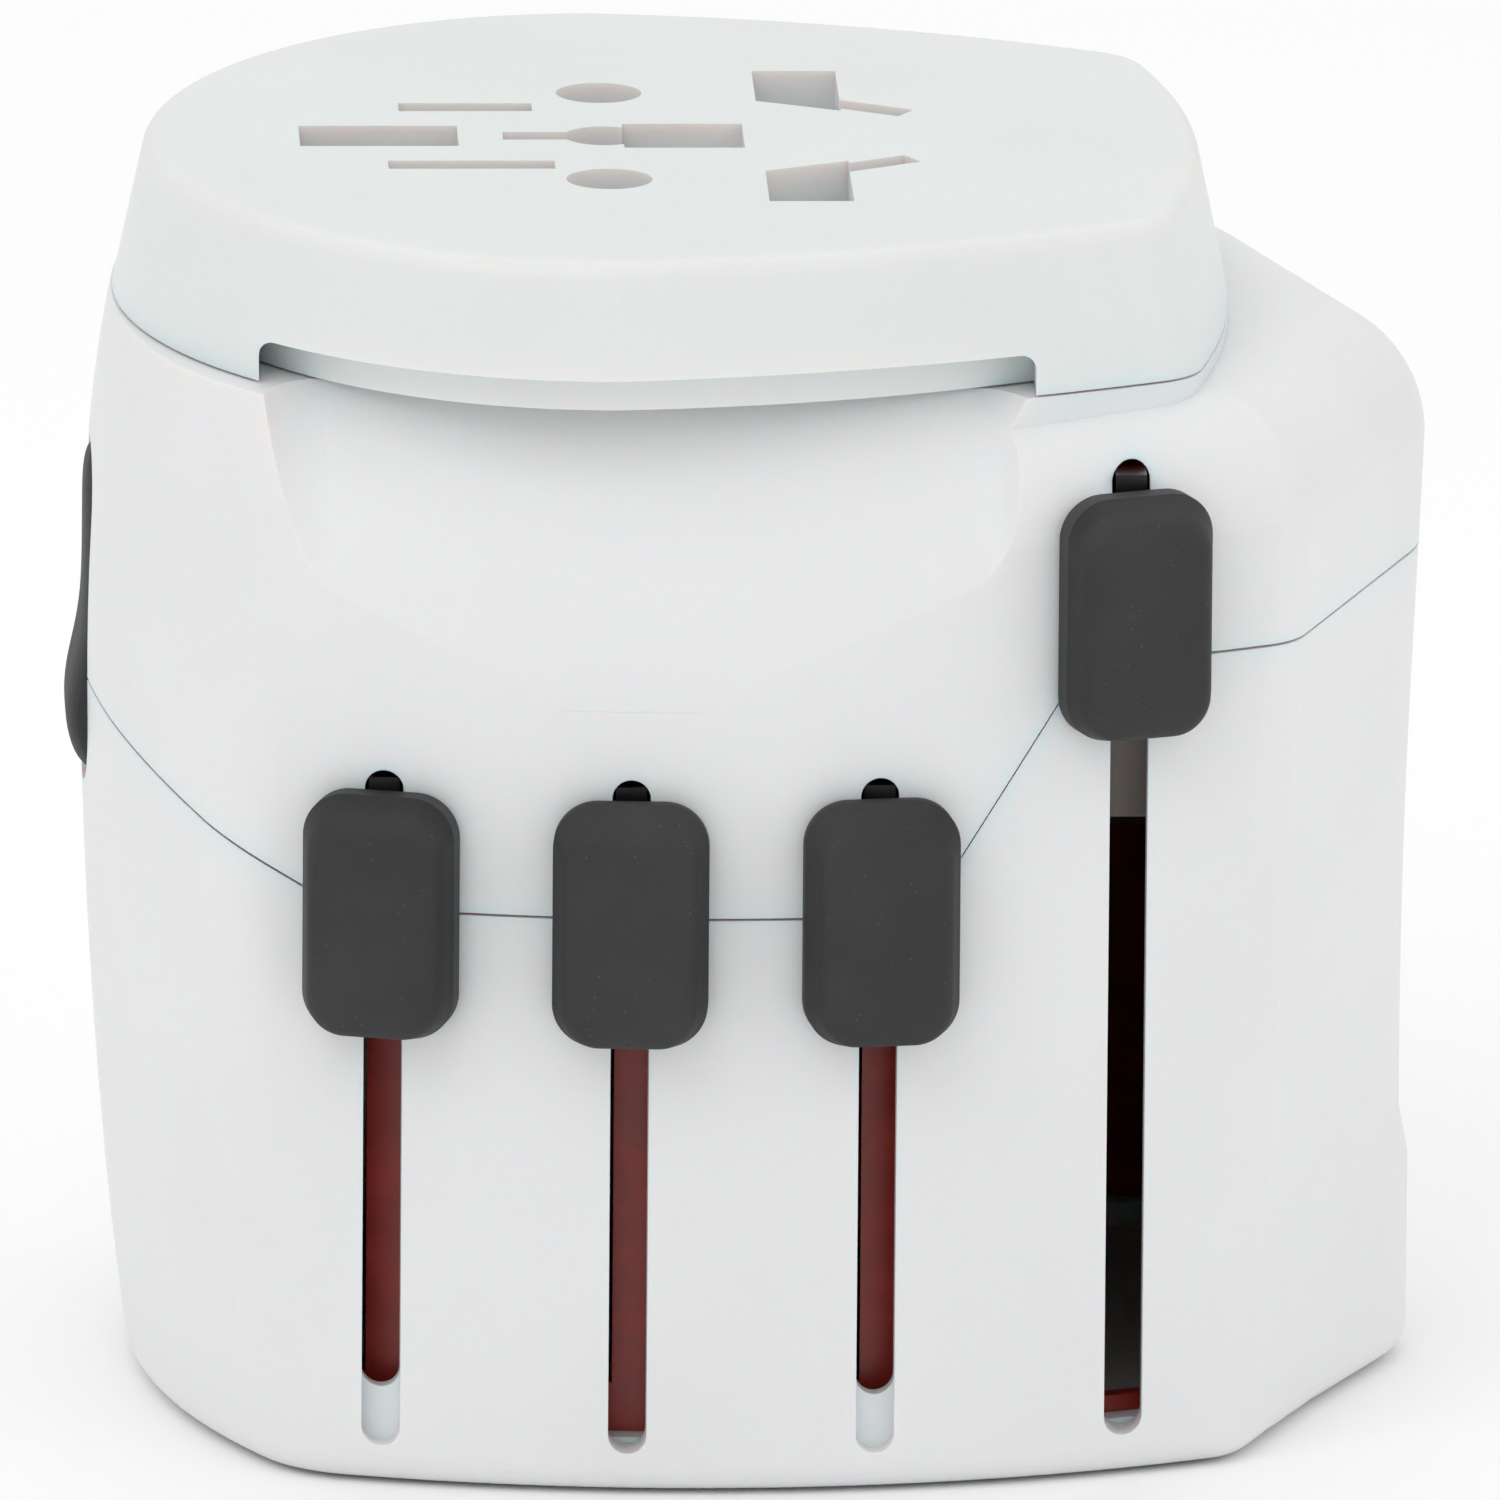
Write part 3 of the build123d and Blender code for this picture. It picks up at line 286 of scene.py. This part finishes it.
def slot_of(node):
    parts = frame["record"]["subparts"]
    return next(part["material_slot"] for part in parts if part["node"] == node)


def new_piece(name, mesh_maker, slot, body, *replaced):
    """A finished piece from a bmesh, riding on a body and standing for CAD nodes."""
    work = bmesh.new()
    mesh_maker(work)
    bmesh.ops.recalc_face_normals(work, faces=work.faces)
    mesh = bpy.data.meshes.new(name)
    work.to_mesh(mesh)
    work.free()
    mesh.materials.append(material_for(slot))
    mesh.shade_smooth()
    piece = bpy.data.objects.new(name, mesh)
    bpy.context.scene.collection.objects.link(piece)
    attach(piece, body)
    if replaced:
        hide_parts(*replaced)
    return piece


def rounded_plate(work, width, height, corner, steps):
    """One flat rounded rectangle in the XY plane, as a face."""
    made = bmesh.ops.create_grid(work, x_segments=1, y_segments=1, size=0.5)
    bmesh.ops.scale(work, vec=(width, height, 1.0), verts=made["verts"])
    bmesh.ops.bevel(
        work,
        geom=list(work.verts),
        offset=corner,
        segments=steps,
        profile=0.5,
        affect="VERTICES",
        material=-1,
    )
    return list(work.faces)


def raise_face(work, face, rise, left, right, bottom, top):
    """Pull a flat face up, drawing each of its sides in by its own amount."""
    made = bmesh.ops.extrude_face_region(work, geom=[face])
    lifted = next(part for part in made["geom"] if isinstance(part, bmesh.types.BMFace))
    corners = [v.co.copy() for v in lifted.verts]
    low = Vector((min(c.x for c in corners), min(c.y for c in corners), corners[0].z))
    high = Vector((max(c.x for c in corners), max(c.y for c in corners), corners[0].z))
    size = high - low
    shrink = (1 - (left + right) / size.x, 1 - (bottom + top) / size.y, 1.0)
    verts = list(lifted.verts)
    bmesh.ops.scale(work, vec=shrink, space=Matrix.Translation(-low), verts=verts)
    bmesh.ops.translate(work, vec=(left, bottom, rise), verts=verts)
    return lifted


def soften(work, heights, offset, segments):
    """Round every level loop of edges that lies at one of the heights."""
    edges = [
        edge for edge in work.edges
        if any(all(abs(v.co.z - height) < SAME_HEIGHT for v in edge.verts) for height in heights)
    ]
    bmesh.ops.bevel(
        work,
        geom=edges,
        offset=offset,
        segments=segments,
        profile=0.5,
        affect="EDGES",
        material=-1,
        clamp_overlap=True,
    )


# ---------------------------------------------------------------- settings


def length(name, description, default):
    return FloatProperty(name=name, description=description, default=default, unit="LENGTH")


def angle(name, description, degrees):
    return FloatProperty(
        name=name, description=description, default=math.radians(degrees), subtype="ANGLE"
    )


class ADAPTER_PG_button(bpy.types.PropertyGroup):
    corner: length("Corner", "Corner radius", 0.0023)
    slope: length("Slope", "Height of the slope at the top", 0.0016)
    side: length("Side", "Width of the slope at each side", 0.0007)
    foot: length("Foot", "Width of the slope at the foot", 0.0003)
    steps: IntProperty(name="Steps", description="Segments in each corner", default=12)


class ADAPTER_PG_lever(bpy.types.PropertyGroup):
    swell: length("Swell", "How far the thumb pad stands out", 0.0009)
    pad_height: length("Pad height", "Middle of the pad above the foot", 0.0036)
    edge: length("Edge", "Fall of the face towards its edges", 0.0006)
    tip: length("Tip", "Length of each rounded end", 0.0046)


class ADAPTER_PG_stage(bpy.types.PropertyGroup):
    floor_colour: FloatVectorProperty(
        name="Floor colour",
        description="Colour of the floor",
        default=(1.0, 1.0, 1.0),
        size=3,
        subtype="COLOR",
    )
    lens: FloatProperty(name="Lens", description="Focal length of the camera", default=1200.0)
    distance: length("Distance", "Camera to object", 2.625)
    azimuth: angle("Azimuth", "Camera angle round the object", -2.0)
    elevation: angle("Elevation", "Camera angle above it", 14.4)
    roll: angle("Roll", "Turn of the camera about its view", 0.45)
    aim: FloatVectorProperty(
        name="Aim",
        description="Point the camera looks at",
        default=(0.0079, 0.0, 0.0323),
        size=3,
        subtype="TRANSLATION",
    )


# ---------------------------------------------------------------- pieces


class ADAPTER_OT_finishes(bpy.types.Operator):
    """Give every carried-over node the finish of its slot"""

    bl_idname = "adapter.finishes"
    bl_label = "Finishes"

    def execute(self, context):
        for node, piece in frame["nodes"].items():
            piece.data.materials.clear()
            piece.data.materials.append(material_for(slot_of(node)))
        return {"FINISHED"}


class ADAPTER_OT_buttons(bpy.types.Operator):
    """Make the four slide buttons, each facing out of the curved front"""

    bl_idname = "adapter.buttons"
    bl_label = "Buttons"

    def execute(self, context):
        settings = context.scene.adapter_button
        for key in SETS:
            self.make(key, settings)
        return {"FINISHED"}

    def make(self, key, settings):
        node = key + "_button"
        low, high = (Vector(corner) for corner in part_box(node))
        middle = (low + high) / 2
        turn = math.asin((middle.x - FRONT_ARC_X) / (FRONT_ARC_RADIUS + BUTTON_STANDOFF))
        thick = BUTTON_THICK
        width = BUTTON_WIDTH
        height = high.z - low.z

        def shape(work):
            face = rounded_plate(work, width, height, settings.corner, settings.steps)[0]
            shoulder = thick * BUTTON_SHOULDER
            face = raise_face(work, face, shoulder, 0.0, 0.0, 0.0, 0.0)
            side = settings.side
            face = raise_face(work, face, thick - shoulder, side, side, settings.foot, settings.slope)
            soften(work, [thick], *BUTTON_ROUND)
            soften(work, [shoulder], *BUTTON_ROUND)
            soften(work, [0.0], *BUTTON_BACK_ROUND)
            turned = Matrix.Rotation(turn, 4, "Z") @ Matrix.Rotation(math.pi / 2, 4, "X")
            depth = Matrix.Translation((0, 0, -thick / 2))
            bmesh.ops.transform(work, matrix=Matrix.Translation(middle) @ turned @ depth, verts=work.verts)

        new_piece(key + "_soft_button", shape, "soft_black", key + "_set", node)


class ADAPTER_OT_lever(bpy.types.Operator):
    """Make the release lever: a long thumb piece with a swelling pad at its foot"""

    bl_idname = "adapter.lever"
    bl_label = "Lever"

    def execute(self, context):
        settings = context.scene.adapter_lever
        low, high = (Vector(corner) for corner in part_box("release_lever"))
        pin_low, pin_high = (Vector(corner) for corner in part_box("release_pivot_pin"))
        pin = (pin_low + pin_high) / 2
        pin_radius = (pin_high.z - pin_low.z) / 2
        half = high.y
        face_x = low.x + settings.swell
        back_x = face_x + LEVER_THICK

        def shape(work):
            made = bmesh.ops.create_grid(
                work, x_segments=LEVER_ACROSS, y_segments=LEVER_ALONG, size=0.5
            )
            for v in made["verts"]:
                across, along = 2 * v.co.x, v.co.y + 0.5
                z = low.z + along * (high.z - low.z)
                near_end = min(z - low.z, high.z - z)
                reach = max(0.0, 1 - near_end / settings.tip)
                width = half * math.sqrt(max(1 - reach * reach, LEVER_TIP_WIDTH))
                pad = math.exp(-(((z - low.z - settings.pad_height) / LEVER_PAD_SPREAD) ** 2))
                fall = settings.edge * (abs(across) ** LEVER_EDGE_POWER + reach**LEVER_EDGE_POWER)
                v.co = Vector((face_x - settings.swell * pad + fall, across * width, z))
            made = bmesh.ops.extrude_face_region(work, geom=list(work.faces))
            for part in made["geom"]:
                if isinstance(part, bmesh.types.BMVert):
                    part.co.x = back_x
            ring = [
                work.verts.new((pin.x, -half + LEVER_SIDE, pin.z + pin_radius + gap))
                for gap in (PIN_GAP, BARREL_WALL)
            ]
            ring += [
                work.verts.new((pin.x, half - LEVER_SIDE, pin.z + pin_radius + gap))
                for gap in (BARREL_WALL, PIN_GAP)
            ]
            loop = [work.edges.new((ring[i], ring[(i + 1) % 4])) for i in range(4)]
            bmesh.ops.spin(
                work,
                geom=ring + loop,
                cent=pin,
                axis=(0, 1, 0),
                steps=BARREL_STEPS,
                angle=2 * math.pi,
                use_merge=True,
            )
            made = bmesh.ops.create_cube(work, size=1.0)
            gap = pin.x - pin_radius - BARREL_WALL - back_x
            bridge = (gap + 2 * LEVER_SIDE, 2 * (half - LEVER_SIDE), pin_radius + BARREL_WALL)
            bmesh.ops.scale(work, vec=bridge, verts=made["verts"])
            bmesh.ops.translate(work, vec=(back_x + gap / 2, 0, pin.z), verts=made["verts"])

        new_piece("thumb_lever", shape, "soft_black", "lever", "release_lever")
        return {"FINISHED"}


class ADAPTER_OT_stage(bpy.types.Operator):
    """Add the floor, the lights and the camera"""

    bl_idname = "adapter.stage"
    bl_label = "Stage"

    def execute(self, context):
        scene = context.scene
        settings = scene.adapter_stage
        mesh = bpy.data.meshes.new("floor")
        work = bmesh.new()
        bmesh.ops.create_grid(work, x_segments=1, y_segments=1, size=FLOOR_HALF)
        work.to_mesh(mesh)
        work.free()
        floor = bpy.data.objects.new("floor", mesh)
        floor.location.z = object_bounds()[0][2] - FLOOR_GAP
        scene.collection.objects.link(floor)
        colour = rgb(*settings.floor_colour)

        def build(place, link):
            link(place.noise(3.0).mix(colour, colour), "Base Color")

        mesh.materials.append(finish("pale floor", build, Roughness=0.9))
        floor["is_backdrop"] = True
        world = bpy.data.worlds.new("studio")
        world.use_nodes = True
        background = world.node_tree.nodes["Background"]
        background.inputs["Color"].default_value = rgb(1.0, 1.0, 1.0)
        background.inputs["Strength"].default_value = WORLD_LIGHT
        scene.world = world
        for name, (place, size, power) in LIGHTS.items():
            self.light(name, place, size, power)
        self.camera(scene, settings)
        scene.view_settings.view_transform = "Standard"
        return {"FINISHED"}

    def light(self, name, place, size, power):
        data = bpy.data.lights.new(name, "AREA")
        data.size, data.energy = size, power
        lamp = bpy.data.objects.new(name, data)
        lamp.location = place
        aim = Vector(LIGHT_TARGET) - Vector(place)
        lamp.rotation_euler = aim.to_track_quat("-Z", "Y").to_euler()
        bpy.context.scene.collection.objects.link(lamp)

    def camera(self, scene, settings):
        data = bpy.data.cameras.new("camera")
        data.lens, data.sensor_width = settings.lens, 36.0
        data.clip_start, data.clip_end = 0.05, 20.0
        camera = bpy.data.objects.new("camera", data)
        a, e = settings.azimuth, settings.elevation
        back = Vector((math.sin(a) * math.cos(e), -math.cos(a) * math.cos(e), math.sin(e)))
        camera.location = Vector(settings.aim) + back * settings.distance
        look = (-back).to_track_quat("-Z", "Y").to_matrix() @ Matrix.Rotation(settings.roll, 3, "Z")
        camera.rotation_euler = look.to_euler()
        scene.collection.objects.link(camera)
        scene.camera = camera


class ADAPTER_PT_panel(bpy.types.Panel):
    bl_idname = "ADAPTER_PT_panel"
    bl_label = "Travel adapter"
    bl_space_type = "VIEW_3D"
    bl_region_type = "UI"
    bl_category = "Adapter"

    def draw(self, context):
        for operator in OPERATORS:
            self.layout.operator(operator.bl_idname)


OPERATORS = (ADAPTER_OT_finishes, ADAPTER_OT_buttons, ADAPTER_OT_lever, ADAPTER_OT_stage)
CLASSES = (ADAPTER_PG_button, ADAPTER_PG_lever, ADAPTER_PG_stage, *OPERATORS, ADAPTER_PT_panel)


def register():
    for item in CLASSES:
        bpy.utils.register_class(item)
    bpy.types.Scene.adapter_button = PointerProperty(type=ADAPTER_PG_button)
    bpy.types.Scene.adapter_lever = PointerProperty(type=ADAPTER_PG_lever)
    bpy.types.Scene.adapter_stage = PointerProperty(type=ADAPTER_PG_stage)


def unregister():
    del bpy.types.Scene.adapter_button
    del bpy.types.Scene.adapter_lever
    del bpy.types.Scene.adapter_stage
    for item in reversed(CLASSES):
        bpy.utils.unregister_class(item)


def main():
    register()
    for operator in OPERATORS:
        family, name = operator.bl_idname.split(".")
        getattr(getattr(bpy.ops, family), name)()


if __name__ == "__main__":
    main()
